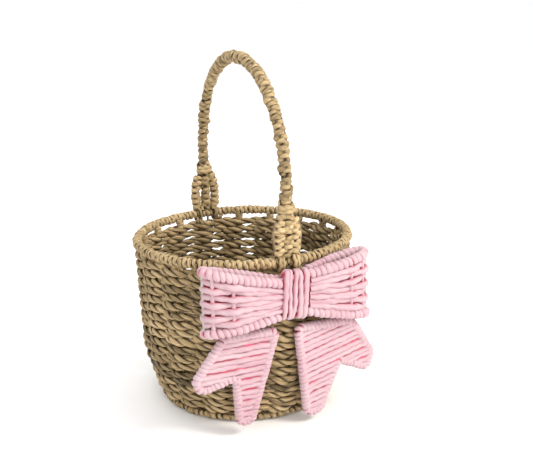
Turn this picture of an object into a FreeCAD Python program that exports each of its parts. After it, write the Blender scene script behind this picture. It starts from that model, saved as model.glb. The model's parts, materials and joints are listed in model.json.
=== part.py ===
import FreeCAD
import Part
import math
import os

from FreeCAD import Placement, Rotation, Vector

# A round gift basket: seagrass rope twined over a welded wire frame, with a fixed
# arched handle and a paper-cord bow on the front.
# Millimetres. The origin is the centre of the resting plane, +Z is up along the basket's
# axis, the bow faces -Y and the handle's arch lies in the YZ plane.

os.makedirs("parts", exist_ok=True)
doc = FreeCAD.newDocument("EasterBasket")

dimensions = {
    # materials
    "ropeDiameter": 5.6,
    "ringWire": 3.0,
    "ribWire": 2.4,
    "handleWire": 4.0,
    "bowWire": 2.6,
    "fitGap": 0.05,
    "floatGap": 0.2,
    # rim and foot
    "rimRadius": 103.5,
    "rimHeight": 160.6,
    "rimThickness": 9.5,
    "footRadius": 84.4,
    "footHeight": 4.2,
    "footThickness": 9.0,
    # wall: an upper cone and a steeper lower cone that meet at the knee
    "ribCount": 18,
    "kneeHeight": 53.8,
    "upperLean": 1.9,
    "lowerLean": 17.0,
    "wallRows": 17,
    "firstRowHeight": 14.0,
    "lastRowHeight": 149.0,
    # base
    "hubRadius": 12.0,
    "baseRows": 7,
    "firstBaseRow": 21.0,
    "lastBaseRow": 75.0,
    # handle
    "handleRadius": 105.3,
    "handleArchHeight": 228.7,
    "handleThickness": 11.2,
    "handleFootHeight": 165.7,
    "knotHeight": 209.4,
    "footLegThickness": 8.8,
    "lashingThickness": 3.8,
    # bow
    "bowHeight": 135.2,
    "bowTilt": 3.8,
    "borderThickness": 9.4,
    "panelThickness": 5.6,
    "bowKnotWidth": 22.6,
    "bowKnotHeight": 46.0,
    "bowKnotFront": 127.1,
    "bowKnotBack": 112.8,
    "coreGap": 0.6,
    "bowWrap": 4.1,
    "bowWraps": 5,
    "tieThickness": 1.6,
    "tailTopHeight": 101.0,
    "tailTopDepth": 114.6,
    "tailLean": 5.0,
    "tailTurn": 5.0,
    "tailEdgeThickness": 9.0,
    "tailPanelThickness": 6.6,
}

sheet = doc.addObject("Spreadsheet::Sheet", "Dims")
for row, (alias, value) in enumerate(dimensions.items(), start=1):
    sheet.set(f"A{row}", alias)
    sheet.set(f"B{row}", str(value))
    sheet.setAlias(f"B{row}", alias)
doc.recompute()

subparts = []


def dim(alias):
    return float(sheet.get(alias))


def bind(feature, expressions):
    for prop, text in expressions.items():
        feature.setExpression(prop, text)
    return feature


def finish(feature, label):
    """Name a feature as one piece of the basket."""
    feature.Label = label
    subparts.append(feature)
    return feature


def torus(name, ringRadius, thickness, height):
    ring = doc.addObject("Part::Torus", name)
    return bind(ring, {
        "Radius1": ringRadius,
        "Radius2": f"({thickness}) / 2",
        "Placement.Base.z": height,
    })


def cylinder(name, diameter, length, placement):
    rod = doc.addObject("Part::Cylinder", name)
    rod.Placement = placement
    return bind(rod, {"Radius": f"({diameter}) / 2", "Height": length})


def compound(name, members):
    group = doc.addObject("Part::Compound", name)
    group.Links = members
    return group


def cut(name, base, tool):
    result = doc.addObject("Part::Cut", name)
    result.Base = base
    result.Tool = tool
    return result


def fuse(name, members):
    result = doc.addObject("Part::MultiFuse", name)
    result.Shapes = members
    return result


def common(name, members):
    result = doc.addObject("Part::MultiCommon", name)
    result.Shapes = members
    return result


def roundedPath(name, points, bend, closed=False):
    """Straight runs through the points, each corner rounded by a tangent arc of radius bend."""
    corners = [Vector(*point) for point in points]
    count = len(corners)
    turning = range(count) if closed else range(1, count - 1)
    edges, starts, ends = [], {}, {}
    for i in turning:
        before = (corners[i - 1] - corners[i]).normalize()
        after = (corners[(i + 1) % count] - corners[i]).normalize()
        half = before.getAngle(after) / 2
        trim = bend / math.tan(half)
        middle = corners[i] + (before + after).normalize() * (bend / math.sin(half) - bend)
        starts[i] = corners[i] + before * trim
        ends[i] = corners[i] + after * trim
        edges.append((i, Part.Arc(starts[i], middle, ends[i]).toShape()))
    arcs = dict(edges)
    runs = []
    for i in range(count if closed else count - 1):
        following = (i + 1) % count
        run = Part.LineSegment(ends.get(i, corners[i]), starts.get(following, corners[following]))
        runs.append(run.toShape())
        if following in arcs:
            runs.append(arcs[following])
    path = doc.addObject("Part::Feature", name)
    path.Shape = Part.Wire(runs)
    return path


def sweep(name, path, section):
    edges = [f"Edge{i + 1}" for i in range(len(path.Shape.Edges))]
    result = doc.addObject("Part::Sweep", name)
    result.Sections = [section]
    result.Spine = (path, edges)
    result.Solid = True
    return result


def pathStart(path):
    edge = path.Shape.OrderedEdges[0]
    first = path.Shape.OrderedVertexes[0].Point
    atFirst = (edge.valueAt(edge.FirstParameter) - first).Length < 1e-6
    tangent = edge.tangentAt(edge.FirstParameter if atFirst else edge.LastParameter)
    return Placement(first, Rotation(Vector(0, 0, 1), tangent))


def tube(name, path, diameter):
    """A round bar of this diameter along the path."""
    section = doc.addObject("Part::Circle", f"{name}Section")
    section.Placement = pathStart(path)
    bind(section, {"Radius": f"({diameter}) / 2"})
    return sweep(name, path, section)


def prism(name, outline, depth):
    """A plate whose closed outline lies in the XZ plane, centred on it, of this depth along Y."""
    plate = doc.addObject("Part::Extrusion", name)
    plate.Base = outline
    plate.DirMode = "Custom"
    plate.Dir = Vector(0, 1, 0)
    plate.Solid = True
    plate.Symmetric = True
    return bind(plate, {"LengthFwd": depth})


def wound(name, path, thickness, core, removed):
    """Rope wound on a wire: a thick bar along the wire's path with the metal taken out."""
    return cut(name, tube(f"{core}Wound", path, thickness), removed)


# Wire frame ---------------------------------------------------------------------------

spokeHeight = "Dims.footHeight + Dims.ringWire / 2 + Dims.ribWire / 2 + Dims.fitGap"
ribTopRadius = "Dims.rimRadius - Dims.ringWire / 2 - Dims.ribWire / 2 - Dims.fitGap"
kneeRadius = f"({ribTopRadius} - tan(Dims.upperLean) * (Dims.rimHeight - Dims.kneeHeight))"

spokeLevel = dim("footHeight") + (dim("ringWire") + dim("ribWire")) / 2 + dim("fitGap")
ribTop = dim("rimRadius") - (dim("ringWire") + dim("ribWire")) / 2 - dim("fitGap")
upperSlope = math.tan(math.radians(dim("upperLean")))
lowerSlope = math.tan(math.radians(dim("lowerLean")))
kneeAt = ribTop - upperSlope * (dim("rimHeight") - dim("kneeHeight"))
cornerAt = kneeAt - lowerSlope * (dim("kneeHeight") - spokeLevel)
ribPastRim = 1.0
ribBend = 6.0

topRing = torus("TopRing", "Dims.rimRadius", "Dims.ringWire", "Dims.rimHeight")
topRingWire = finish(topRing, "top_ring_wire")
baseRing = torus("BaseRing", "Dims.footRadius", "Dims.ringWire", "Dims.footHeight")
baseRingWire = finish(baseRing, "base_ring_wire")
hubRing = torus("HubRing", "Dims.hubRadius", "Dims.ringWire", spokeHeight)
finish(hubRing, "hub_ring_wire")

# One rib runs out along the base as a spoke, turns up over the base ring and follows the wall
# to the inside of the top ring.
ribFoot = (dim("hubRadius") + (dim("ringWire") + dim("fitGap")) / 2, 0, spokeLevel)
ribTopHeight = dim("rimHeight") + ribPastRim
ribPath = roundedPath("RibPath", [
    ribFoot,
    (cornerAt, 0, spokeLevel),
    (kneeAt, 0, dim("kneeHeight")),
    (ribTop + upperSlope * ribPastRim, 0, ribTopHeight),
], ribBend)
oneRib = tube("Rib", ribPath, "Dims.ribWire")
doc.recompute()


def aroundAxis(shape, azimuths):
    """Copies of a shape turned about the basket's axis."""
    return [shape.rotated(Vector(), Vector(0, 0, 1), azimuth) for azimuth in azimuths]


ribAzimuths = [90 + i * 360 / dim("ribCount") for i in range(int(dim("ribCount")))]
ribWires = doc.addObject("Part::Feature", "RibWires")
ribWires.Shape = Part.makeCompound(aroundAxis(oneRib.Shape, ribAzimuths))
finish(ribWires, "rib_wires")

# Woven wall and base ------------------------------------------------------------------

# A row is a pair of ropes that cross between the ribs, so that every rib has one float of rope
# outside it and one inside. Each float is a solid of its own.
strandOffset = "(Dims.ropeDiameter / 2 + Dims.ribWire / 2 + Dims.fitGap)"
floatSweep = "(360 / Dims.ribCount - Dims.floatGap)"
rows = []


def twinedRow(label, radius, height, lean):
    """The outer and the inner float of one row, which stand apart square to the row's lean."""
    floats = []
    for name, sign, opposite in (("outer", "+", "-"), ("inner", "-", "+")):
        strand = torus(
            f"{label}_{name}",
            f"{radius} {sign} cos({lean}) * {strandOffset}",
            "Dims.ropeDiameter",
            f"{height} {opposite} sin({lean}) * {strandOffset}",
        )
        floats.append(bind(strand, {"Angle3": floatSweep}))
    rows.append((label, floats))


wallRows = int(dim("wallRows"))
rowPitch = (dim("lastRowHeight") - dim("firstRowHeight")) / (wallRows - 1)
for i in range(wallRows):
    height = f"(Dims.firstRowHeight + {i} * (Dims.lastRowHeight - Dims.firstRowHeight) / (Dims.wallRows - 1))"
    aboveKnee = dim("firstRowHeight") + i * rowPitch > dim("kneeHeight")
    lean = "Dims.upperLean" if aboveKnee else "Dims.lowerLean"
    radius = f"{kneeRadius} + tan({lean}) * ({height} - Dims.kneeHeight)"
    twinedRow(f"wall_row_{i + 1:02d}", radius, height, lean)

baseRows = int(dim("baseRows"))
for i in range(baseRows):
    radius = f"(Dims.firstBaseRow + {i} * (Dims.lastBaseRow - Dims.firstBaseRow) / (Dims.baseRows - 1))"
    twinedRow(f"base_row_{i + 1:02d}", radius, spokeHeight, "90")

doc.recompute()
halfFloat = (360 / dim("ribCount") - dim("floatGap")) / 2
floatStarts = [azimuth - halfFloat for azimuth in ribAzimuths]
for label, floats in rows:
    wovenRow = doc.addObject("Part::Feature", f"{label}_floats")
    turned = [copy for strand in floats for copy in aroundAxis(strand.Shape, floatStarts)]
    wovenRow.Shape = Part.makeCompound(turned)
    finish(wovenRow, label)

# The middle of the base is a coil of rope above and below the hub.
coilDrop = (dim("ringWire") - dim("ribWire")) / 2
discs = []
for name, side in (("Upper", 1), ("Lower", -1)):
    near = spokeLevel + side * (dim("ringWire") / 2 + dim("fitGap"))
    bottom = near if side > 0 else near - dim("ropeDiameter") + coilDrop
    discs.append(cylinder(
        f"{name}Coil",
        "2 * (Dims.firstBaseRow - Dims.ropeDiameter / 2 - 3 * Dims.fitGap)",
        "Dims.ropeDiameter - (Dims.ringWire - Dims.ribWire) / 2",
        Placement(Vector(0, 0, bottom), Rotation()),
    ))
finish(compound("CentreCoils", discs), "base_centre_coil")

# Wound rim and foot -------------------------------------------------------------------

rimRope = torus("RimRope", "Dims.rimRadius", "Dims.rimThickness", "Dims.rimHeight")
rimMetal = compound("RimMetal", [topRingWire, ribWires])
finish(cut("RimWrap", rimRope, rimMetal), "rim_wrap")

footRope = torus("FootRope", "Dims.footRadius", "Dims.footThickness", "Dims.footHeight")
belowGround = doc.addObject("Part::Box", "BelowGround")
bind(belowGround, {
    "Length": "4 * Dims.footRadius",
    "Width": "4 * Dims.footRadius",
    "Height": "Dims.footThickness",
    "Placement.Base.x": "-2 * Dims.footRadius",
    "Placement.Base.y": "-2 * Dims.footRadius",
    "Placement.Base.z": "-Dims.footThickness",
})
footRemoved = compound("FootRemoved", [baseRingWire, ribWires, belowGround])
finish(cut("FootWrap", footRope, footRemoved), "foot_wrap")

# Rope turns round each rib between the last row and the rim, except under the handle.
sleeveRadius = 3.2
sleeveClearance = 0.3
sleeveBottom = dim("lastRowHeight") + dim("ropeDiameter") / 2 + sleeveClearance
sleeveTop = dim("rimHeight") - dim("rimThickness") / 2 - sleeveClearance
sleeveAxis = Vector(upperSlope, 0, 1)
sleeveBase = Vector(kneeAt + upperSlope * (sleeveBottom - dim("kneeHeight")), 0, sleeveBottom)
sleeveHeight = sleeveTop - sleeveBottom
sleeve = Part.makeCylinder(sleeveRadius, sleeveHeight, sleeveBase, sleeveAxis)
sleeve = sleeve.cut(Part.makeCylinder(dim("ribWire") / 2, sleeveHeight, sleeveBase, sleeveAxis))
freeAzimuths = [azimuth for azimuth in ribAzimuths if azimuth % 180 != 90]
ribSleeves = doc.addObject("Part::Feature", "RibSleeves")
ribSleeves.Shape = Part.makeCompound(aroundAxis(sleeve, freeAzimuths))
finish(ribSleeves, "rib_bindings")

# Handle -------------------------------------------------------------------------------


def archPath(name):
    """Two upright legs joined by a half circle in the YZ plane."""
    radius, top, foot = dim("handleRadius"), dim("handleArchHeight"), dim("handleFootHeight")
    front, back = Vector(0, -radius, top), Vector(0, radius, top)
    path = doc.addObject("Part::Feature", name)
    path.Shape = Part.Wire([
        Part.LineSegment(Vector(0, -radius, foot), front).toShape(),
        Part.Arc(front, Vector(0, 0, top + radius), back).toShape(),
        Part.LineSegment(back, Vector(0, radius, foot)).toShape(),
    ])
    return path


handlePath = archPath("HandlePath")
handleWire = finish(tube("HandleWire", handlePath, "Dims.handleWire"), "handle_wire")
finish(wound("HandleWrap", handlePath, "Dims.handleThickness", "Handle", handleWire), "handle_wrap")

# Each foot of the handle has a short wound leg on either side, three turns of rope where
# they join, and two lashings that hold the foot to the rim.
legPoints = [(10.3, 198.0), (13.0, 187.0), (12.4, 178.0), (11.4, 169.6)]
legBend = 5.0
lashingSpread = 10.0
for side, y in (("front", -dim("handleRadius")), ("back", dim("handleRadius"))):
    legWires, legWraps, lashings, turns = [], [], [], []
    for hand in (-1, 1):
        key = f"{side.title()}{'Left' if hand < 0 else 'Right'}"
        legPath = roundedPath(f"{key}LegPath", [(hand * x, y, z) for x, z in legPoints], legBend)
        legWire = tube(f"{key}LegWire", legPath, "Dims.ringWire")
        legWires.append(legWire)
        legWraps.append(wound(f"{key}LegWrap", legPath, "Dims.footLegThickness", f"{key}Leg", legWire))
        lashing = torus(f"{key}Lashing", "(Dims.rimThickness + Dims.lashingThickness) / 2 + Dims.fitGap",
                        "Dims.lashingThickness", "Dims.rimHeight")
        spread = math.copysign(math.sqrt(dim("rimRadius") ** 2 - lashingSpread ** 2), y)
        turn = math.degrees(math.atan2(hand * lashingSpread, -spread))
        lashing.Placement = Placement(
            Vector(hand * lashingSpread, spread, dim("rimHeight")),
            Rotation(Vector(0, 0, 1), turn) * Rotation(Vector(0, 1, 0), 90),
        )
        lashings.append(lashing)
    for step in (-1, 0, 1):
        turnRing = torus(
            f"{side.title()}Turn{step + 2}",
            "(Dims.handleThickness + Dims.lashingThickness) / 2 + Dims.fitGap",
            "Dims.lashingThickness",
            f"Dims.knotHeight + {step} * (Dims.lashingThickness + Dims.fitGap)",
        )
        turnRing.Placement.Base.y = y
        turns.append(turnRing)
    finish(compound(f"{side.title()}LegWires", legWires), f"handle_foot_wires_{side}")
    finish(compound(f"{side.title()}LegWraps", legWraps), f"handle_foot_wraps_{side}")
    finish(compound(f"{side.title()}Knot", turns), f"handle_knot_{side}")
    finish(compound(f"{side.title()}Lashings", lashings), f"handle_lashings_{side}")

# Bow loops ----------------------------------------------------------------------------

# Each loop is seen from above as a flat hairpin: front panel, rounded end, back panel.
hairpin = [
    (13.4, -121.4), (45, -124), (70, -119), (79, -109.5),
    (71, -103.4), (45, -103.6), (25, -109.4), (13.4, -111.8),
]
hairpinBend = 5.2
startOfLoop, endOfLoop = hairpin[0][0], hairpin[3][0]
bandReach = 60
bandTrim = 2.0
bandPastEnd = 10.0
borderClearance = 1.12
# Each edge: its height at the knot, its height at the loop's end, and how far that end reaches.
loopEdges = {
    "left": {"Top": (11.0, 24.0, 85.5), "Bottom": (-18.5, -32.0, 82.0)},
    "right": {"Top": (18.0, 31.0, 75.0), "Bottom": (-17.0, -28.0, 80.0)},
}
stakeStations = [(35, -123.2), (56, -121.9), (77.4, -109.7), (56, -103.5), (35, -106.5)]
bowPlacement = Placement(Vector(0, 0, dim("bowHeight")), Rotation(Vector(0, 1, 0), dim("bowTilt")))


def edgePoint(hand, point, edge):
    """A point of the hairpin's plan, stretched and lifted to where one edge of the loop runs."""
    start, tip, reach = edge
    share = (point[0] - startOfLoop) / (endOfLoop - startOfLoop)
    return Vector(hand * (startOfLoop + share * (reach - startOfLoop)), point[1], start + share * (tip - start))


def placeBow(feature):
    feature.Placement = bowPlacement
    return feature


for side, hand in (("left", -1), ("right", 1)):
    key = side.title()
    edges = loopEdges[side]
    wires, borders = [], []
    for edge in ("Top", "Bottom"):
        corners = [edgePoint(hand, point, edges[edge]) for point in hairpin]
        path = roundedPath(f"{key}{edge}Path", corners, hairpinBend)
        wires.append(tube(f"{key}{edge}Wire", path, "Dims.bowWire"))
        borders.append(tube(f"{key}{edge}Cord", path, "Dims.borderThickness"))
    stakes = []
    for i, station in enumerate(stakeStations):
        low, high = (edgePoint(hand, station, edges[edge]) for edge in ("Bottom", "Top"))
        rise = high - low
        stakes.append(cylinder(f"{key}Stake{i + 1}", "Dims.bowWire", str(rise.Length),
                               Placement(low, Rotation(Vector(0, 0, 1), rise))))
    frame = fuse(f"{key}LoopFrame", wires + stakes)
    for edge, border in zip(("top", "bottom"), borders):
        finish(placeBow(cut(f"{key}{edge.title()}Border", border, frame)), f"bow_{side}_{edge}_border")
    planEdge = (0, 0, (edges["Top"][2] + edges["Bottom"][2]) / 2)
    planPath = roundedPath(f"{key}Plan", [edgePoint(hand, point, planEdge) for point in hairpin], hairpinBend)
    band = doc.addObject("Part::Feature", f"{key}BandSection")
    start = pathStart(planPath)
    half = dim("panelThickness") / 2
    across = start.Rotation.multVec(Vector(0, 0, 1)).cross(Vector(0, 0, 1))
    rise = Vector(0, 0, bandReach)
    band.Shape = Part.makePolygon([
        start.Base + across * half + rise,
        start.Base - across * half + rise,
        start.Base - across * half - rise,
        start.Base + across * half - rise,
        start.Base + across * half + rise,
    ])
    wall = sweep(f"{key}Band", planPath, band)
    inset = borderClearance * (dim("borderThickness") / 2 + dim("fitGap"))
    nearEnd, farEnd = startOfLoop - bandTrim, endOfLoop + bandPastEnd
    corners = []
    for x, edge, shift in (
        (nearEnd, "Top", -inset),
        (farEnd, "Top", -inset),
        (farEnd, "Bottom", inset),
        (nearEnd, "Bottom", inset),
    ):
        start, tip, reach = edges[edge]
        corners.append(edgePoint(hand, (x, 0), (start + shift, tip + shift, planEdge[2])))
    outline = doc.addObject("Part::Feature", f"{key}EnvelopeOutline")
    outline.Shape = Part.makePolygon(corners + corners[:1])
    envelope = prism(f"{key}Envelope", outline, "4 * Dims.bowKnotFront")
    panel = cut(f"{key}Panel", common(f"{key}PanelBlank", [wall, envelope]), frame)
    finish(placeBow(panel), f"bow_{side}_loop_panel")
    finish(placeBow(compound(f"{key}PlacedFrame", [frame])), f"bow_{side}_loop_frame")


# Bow knot -----------------------------------------------------------------------------

# The pinched middle of the loops is a block, bound by turns of cord that lie side by side.
core = doc.addObject("Part::Box", "KnotCore")
bind(core, {
    "Length": "Dims.bowKnotWidth",
    "Width": "Dims.bowKnotFront - Dims.bowKnotBack - 2 * (Dims.bowWrap + Dims.coreGap)",
    "Height": "Dims.bowKnotHeight - 2 * (Dims.bowWrap + Dims.coreGap)",
})
coreInset = dim("bowWrap") + dim("coreGap")
coreCorner = Vector(
    -dim("bowKnotWidth") / 2,
    coreInset - dim("bowKnotFront"),
    coreInset - dim("bowKnotHeight") / 2,
)
core.Placement = Placement(bowPlacement.multVec(coreCorner), bowPlacement.Rotation)
finish(core, "bow_knot_core")

wrapBend = 4.0
wraps = int(dim("bowWraps"))
wrapReach = (dim("bowKnotWidth") - dim("bowWrap")) / 2
wrapFront = -dim("bowKnotFront") + dim("bowWrap") / 2
wrapBack = -dim("bowKnotBack") - dim("bowWrap") / 2
wrapHalf = (dim("bowKnotHeight") - dim("bowWrap")) / 2
turns = []
for i in range(wraps):
    x = -wrapReach + 2 * wrapReach * i / (wraps - 1)
    corners = [
        (x, wrapFront, -wrapHalf),
        (x, wrapFront, wrapHalf),
        (x, wrapBack, wrapHalf),
        (x, wrapBack, -wrapHalf),
    ]
    turnPath = roundedPath(f"KnotTurn{i + 1}Path", corners, wrapBend, True)
    turns.append(tube(f"KnotTurn{i + 1}", turnPath, "Dims.bowWrap"))
finish(placeBow(compound("KnotTurns", turns)), "bow_knot_wraps")

# Two string staples pass between the rows behind the knot and hold the bow to the wall.
tieSpread = 5.0
tieInside = 91.0
rowAboveTie = 13
staples = []
for hand in (-1, 1):
    levels = [dim("firstRowHeight") + (rowAboveTie + step) * rowPitch for step in (-0.5, 0.5)]
    outside = -dim("bowKnotBack") + 2 * dim("fitGap")
    points = [(hand * tieSpread, y, z) for y, z in (
        (outside, levels[0]), (-tieInside, levels[0]), (-tieInside, levels[1]), (outside, levels[1]))]
    name = f"Tie{'Left' if hand < 0 else 'Right'}"
    staples.append(tube(name, roundedPath(f"{name}Path", points, dim("tieThickness")), "Dims.tieThickness"))
finish(compound("Ties", staples), "bow_ties")

# Bow tails ----------------------------------------------------------------------------

# A tail is a swallow-tailed wire outline with a middle wire down to the notch, wound and
# woven over. The outline runs from the inner top corner round the outer tip, notch and inner tip.
tailOutlines = {
    "left": {
        "outline": [(-17, 0), (-64, 0), (-91, -39), (-86, -48.5), (-53.5, -39.5), (-50.5, -86.5), (-40, -86.5)],
        "middle": [(-42, 0), (-53.5, -39.5)],
    },
    "right": {
        "outline": [(5, -1), (62, -5), (86.5, -43), (82, -57.5), (50, -42.5), (30, -91), (18, -90.5)],
        "middle": [(33, -3), (50, -42.5)],
    },
}
tailBend = 4.7
strutShort = 1.0
for side, hand in (("left", -1), ("right", 1)):
    key = side.title()
    outline = tailOutlines[side]["outline"]
    path = roundedPath(f"{key}TailPath", [(x, 0, z) for x, z in outline], tailBend, True)
    outlineWire = tube(f"{key}TailWire", path, "Dims.bowWire")
    top, bottom = (Vector(x, 0, z) for x, z in tailOutlines[side]["middle"])
    down = bottom - top
    strut = cylinder(f"{key}TailStrut", "Dims.bowWire", str(down.Length - strutShort),
                     Placement(top, Rotation(Vector(0, 0, 1), down)))
    frame = fuse(f"{key}TailFrame", [outlineWire, strut])
    edge = tube(f"{key}TailEdge", path, "Dims.tailEdgeThickness")
    plate = prism(f"{key}TailPlate", path, "Dims.tailPanelThickness")
    weave = cut(f"{key}TailWeave", fuse(f"{key}TailBlank", [edge, plate]), frame)
    turned = Rotation(Vector(0, 0, 1), hand * dim("tailTurn")) * Rotation(Vector(1, 0, 0), dim("tailLean"))
    placement = Placement(Vector(0, -dim("tailTopDepth"), dim("tailTopHeight")), turned)
    placedFrame = compound(f"{key}PlacedTailFrame", [frame])
    for piece, name in ((weave, "weave"), (placedFrame, "frame")):
        piece.Placement = placement
        finish(piece, f"bow_{side}_tail_{name}")

# Check and write ----------------------------------------------------------------------

doc.recompute()
failed = [feature.Name for feature in doc.Objects if "Invalid" in feature.State or "Error" in feature.State]
if failed:
    raise RuntimeError(f"features that failed: {failed}")
for piece in subparts:
    if piece.Shape.isNull() or not piece.Shape.isValid():
        raise RuntimeError(f"{piece.Label} has no valid shape")
for piece in subparts:
    piece.Shape.exportStep(f"parts/{piece.Label}.step")
print(f"{len(subparts)} pieces written")
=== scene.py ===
import json
import math
import bpy
import numpy as np
from mathutils import Matrix, Vector


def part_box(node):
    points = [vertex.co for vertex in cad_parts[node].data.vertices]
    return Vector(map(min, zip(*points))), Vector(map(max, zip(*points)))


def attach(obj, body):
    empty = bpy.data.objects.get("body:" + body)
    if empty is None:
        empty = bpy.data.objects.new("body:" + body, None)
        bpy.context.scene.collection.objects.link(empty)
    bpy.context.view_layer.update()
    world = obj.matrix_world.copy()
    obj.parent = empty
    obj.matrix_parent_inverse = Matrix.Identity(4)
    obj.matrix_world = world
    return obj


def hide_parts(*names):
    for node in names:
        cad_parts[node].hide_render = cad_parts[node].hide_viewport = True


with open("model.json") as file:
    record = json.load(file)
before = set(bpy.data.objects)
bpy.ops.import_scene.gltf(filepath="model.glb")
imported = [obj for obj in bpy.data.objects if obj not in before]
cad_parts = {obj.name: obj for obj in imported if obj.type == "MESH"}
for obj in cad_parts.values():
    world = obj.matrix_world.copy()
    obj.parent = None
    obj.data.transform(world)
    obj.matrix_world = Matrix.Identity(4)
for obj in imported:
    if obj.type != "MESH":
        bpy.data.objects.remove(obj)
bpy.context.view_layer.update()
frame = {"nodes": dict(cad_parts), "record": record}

rng = np.random.default_rng(27)
mm = 0.001

# Shared maths for rope and cord


def unit(v):
    return v / np.maximum(np.linalg.norm(v, axis=-1, keepdims=True), 1e-12)


def wander(count, knots, amount, closed=False):
    # smooth random drift along a strand, made from a few random knots
    values = rng.normal(0, amount, knots)
    if closed:
        values = np.append(values, values[0])
    at = np.linspace(0, len(values) - 1, count)
    low = np.clip(np.floor(at).astype(int), 0, len(values) - 2)
    f = at - low
    f = f * f * (3 - 2 * f)
    return values[low] * (1 - f) + values[low + 1] * f


def tangents(points, closed):
    if closed:
        return unit(np.roll(points, -1, 0) - np.roll(points, 1, 0))
    return unit(np.gradient(points, axis=0))


def resample(points, step):
    # even spacing along an open line of points
    points = np.asarray(points, float)
    lengths = np.r_[0, np.cumsum(np.linalg.norm(np.diff(points, axis=0), axis=1))]
    count = max(int(lengths[-1] / step) + 1, 4)
    at = np.linspace(0, lengths[-1], count)
    return np.stack([np.interp(at, lengths, points[:, i]) for i in range(3)], 1)


def smooth(points, rounds):
    points = np.asarray(points, float)
    for _ in range(rounds):
        inner = (points[:-2] + 2 * points[1:-1] + points[2:]) / 4
        points = np.vstack([points[:1], inner, points[-1:]])
    return points


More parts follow.
